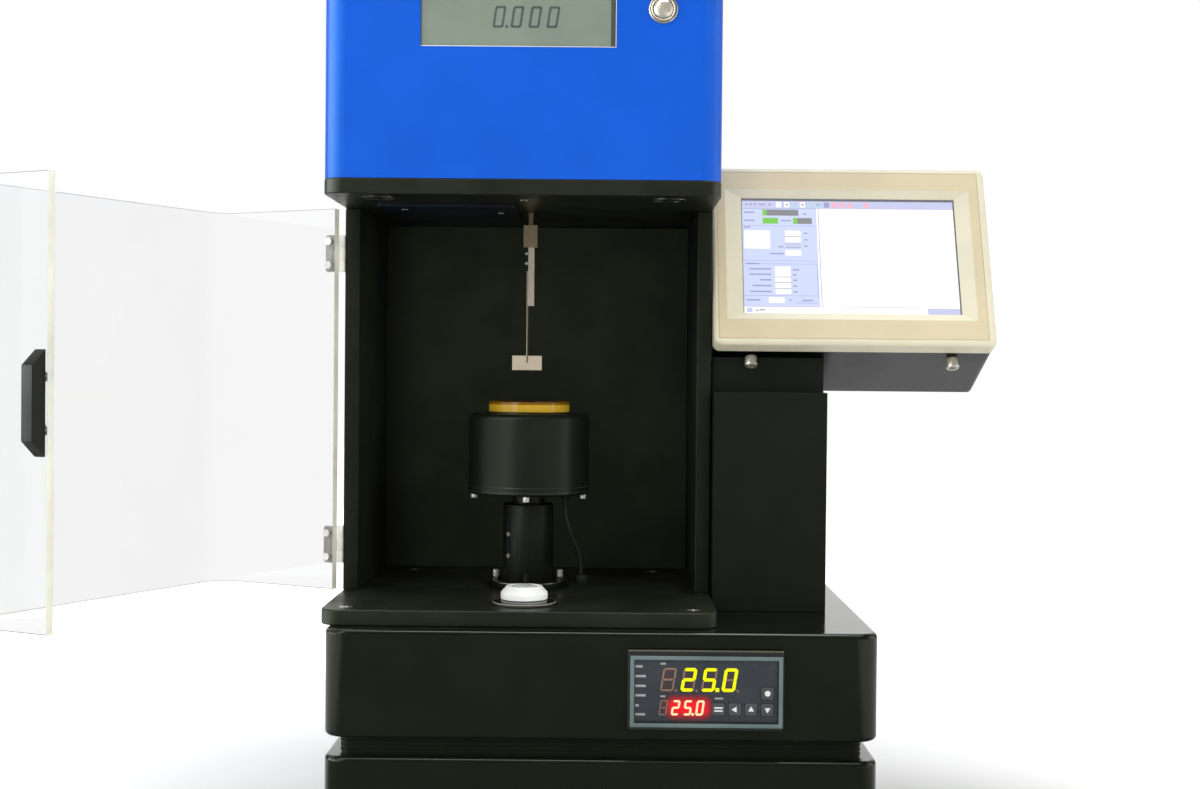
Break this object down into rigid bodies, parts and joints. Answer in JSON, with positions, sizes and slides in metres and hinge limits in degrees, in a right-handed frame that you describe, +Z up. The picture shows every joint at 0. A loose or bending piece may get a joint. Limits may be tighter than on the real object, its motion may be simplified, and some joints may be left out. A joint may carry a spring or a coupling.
{
  "type": "surface tensiometer",
  "caption": "Bench surface tensiometer: plate on a force sensor over a heated dish on a rising stage, in a chamber with a bent clear door, with a touch screen on a pedestal",
  "frame": {"origin": "the bench surface under the middle of the whole instrument", "axes": "+Z up, +X to the user's right, -Y towards the user"},
  "size_m": [0.6434, 0.4192, 0.622],
  "materials": {
    "base_gloss": "gloss black enamel",
    "chamber_black": "satin black finish on aluminium plate",
    "head_blue": "bright blue fine-textured paint",
    "clear_acrylic": "polished clear acrylic sheet",
    "handle_black": "black moulded plastic",
    "steel": "stainless steel",
    "bright_steel": "bright plated steel",
    "black_steel": "black oxide",
    "platinum": "sand-roughened platinum",
    "white_plastic": "white moulded plastic",
    "clear_plastic": "clear moulded plastic",
    "cream_plastic": "cream moulded plastic",
    "screen_glass": "lit colour touch screen",
    "case_black": "black fine-textured paint",
    "controller_grey": "dark grey-blue moulded plastic",
    "controller_face": "smoked face with digits",
    "key_rubber": "grey key",
    "lcd": "grey-green liquid crystal readout",
    "rubber": "black rubber",
    "jacket_black": "gloss black enamel on aluminium",
    "amber_glass": "amber-tinted glass",
    "brass": "turned brass",
    "board_green": "circuit board",
    "zinc": "bare plated sheet",
    "motor_black": "motor body",
    "inlet_black": "black moulded plastic"
  },
  "bodies": {
    "root": {"lower_housing": "base_gloss", "base_floor": "base_gloss", "power_supply": "zinc", "control_board": "board_green", "power_entry": "inlet_black", "neck_frame": "base_gloss", "upper_housing": "base_gloss", "lift_motor": "motor_black", "guide_rods": "steel", "controller_case": "controller_grey", "controller_window": "controller_face", "base_plate": "chamber_black", "base_plate_screws": "steel", "side_panel_left": "chamber_black", "side_panel_right": "chamber_black", "back_wall": "chamber_black", "head_plate": "chamber_black", "service_cover": "chamber_black", "level_body": "white_plastic", "level_lens": "clear_plastic", "column_flange": "black_steel", "column_sleeve": "black_steel", "column_fasteners": "bright_steel", "lead_gland": "rubber", "heater_lead": "rubber", "head_cover": "head_blue", "readout_module": "lcd", "button_bezel": "bright_steel", "load_cell": "zinc", "hanger_rod": "steel", "frame_hinge_leaves": "steel", "pedestal": "case_black", "screen_case": "case_black", "screen_bezel": "cream_plastic", "screen_panel": "screen_glass"},
    "door": {"door_sheet": "clear_acrylic", "door_handle": "handle_black", "door_hinge_leaves": "steel", "door_screws": "bright_steel"},
    "stage": {"jacket_body": "jacket_black", "jacket_cover": "jacket_black", "jacket_screws": "bright_steel", "heater_plate": "zinc", "lift_column": "black_steel", "lift_carriage": "brass"},
    "dish": {"dish": "amber_glass"},
    "lift_screw": {"lead_screw": "steel"},
    "hanger": {"hanger_bar": "steel", "platinum_plate": "platinum"},
    "tare_button": {"button_cap": "bright_steel"},
    "rocker": {"power_rocker": "inlet_black"},
    "foot_front_left_body": {"foot_front_left": "rubber"},
    "foot_front_right_body": {"foot_front_right": "rubber"},
    "foot_rear_left_body": {"foot_rear_left": "rubber"},
    "foot_rear_right_body": {"foot_rear_right": "rubber"},
    "key_mode_body": {"key_mode": "key_rubber"},
    "key_left_body": {"key_left": "key_rubber"},
    "key_up_body": {"key_up": "key_rubber"},
    "key_down_body": {"key_down": "key_rubber"},
    "key_round_body": {"key_round": "key_rubber"}
  },
  "joints": [
    {"name": "door_swing", "type": "hinge", "parent": "root", "child": "door", "pos_m": [-0.12166, 0.01581, 0.304], "axis": [0, 0, 1], "range_deg": [-20, 117]},
    {"name": "stage_lift", "type": "slide", "parent": "root", "child": "stage", "axis": [0, 0, 1], "range_m": [-0.006, 0.024], "deforming": ["heater_lead"]},
    {"name": "screw_spin", "type": "hinge", "parent": "root", "child": "lift_screw", "pos_m": [0.00524, 0.04386, 0.097], "axis": [0, 0, 1], "range_deg": [-1081, 4321]},
    {"name": "dish_lift", "type": "slide", "parent": "stage", "child": "dish", "axis": [0, 0, 1], "range_m": [0, 0.022]},
    {"name": "hanger_swing", "type": "hinge", "parent": "root", "child": "hanger", "pos_m": [0.00649, 0.04386, 0.418], "axis": [0, 1, 0], "range_deg": [-3.5, 3.5]},
    {"name": "tare_press", "type": "slide", "parent": "root", "child": "tare_button", "axis": [0, 1, 0], "range_m": [0, 0.0015], "stiffness_N_per_m": 400, "springref_m": -0.001},
    {"name": "rocker_tilt", "type": "hinge", "parent": "root", "child": "rocker", "pos_m": [0.18104, 0.20426, 0.0525], "axis": [1, 0, 0], "range_deg": [-20, 0]},
    {"name": "key_mode_press", "type": "slide", "parent": "root", "child": "key_mode_body", "axis": [0, 1, 0], "range_m": [0, 0.0005], "stiffness_N_per_m": 400, "springref_m": -0.0005},
    {"name": "key_left_press", "type": "slide", "parent": "root", "child": "key_left_body", "axis": [0, 1, 0], "range_m": [0, 0.0005], "stiffness_N_per_m": 400, "springref_m": -0.0005},
    {"name": "key_up_press", "type": "slide", "parent": "root", "child": "key_up_body", "axis": [0, 1, 0], "range_m": [0, 0.0005], "stiffness_N_per_m": 400, "springref_m": -0.0005},
    {"name": "key_down_press", "type": "slide", "parent": "root", "child": "key_down_body", "axis": [0, 1, 0], "range_m": [0, 0.0005], "stiffness_N_per_m": 400, "springref_m": -0.0005},
    {"name": "key_round_press", "type": "slide", "parent": "root", "child": "key_round_body", "axis": [0, 1, 0], "range_m": [0, 0.0005], "stiffness_N_per_m": 400, "springref_m": -0.0005},
    {"name": "foot_front_left_level", "type": "slide", "parent": "root", "child": "foot_front_left_body", "axis": [0, 0, 1], "range_m": [-0.004, 0.004]},
    {"name": "foot_front_right_level", "type": "slide", "parent": "root", "child": "foot_front_right_body", "axis": [0, 0, 1], "range_m": [-0.004, 0.004]},
    {"name": "foot_rear_left_level", "type": "slide", "parent": "root", "child": "foot_rear_left_body", "axis": [0, 0, 1], "range_m": [-0.004, 0.004]},
    {"name": "foot_rear_right_level", "type": "slide", "parent": "root", "child": "foot_rear_right_body", "axis": [0, 0, 1], "range_m": [-0.004, 0.004]}
  ],
  "couplings": [
    {"joint": "screw_spin", "follows": "stage_lift", "rad_per_m": 3141.6}
  ]
}
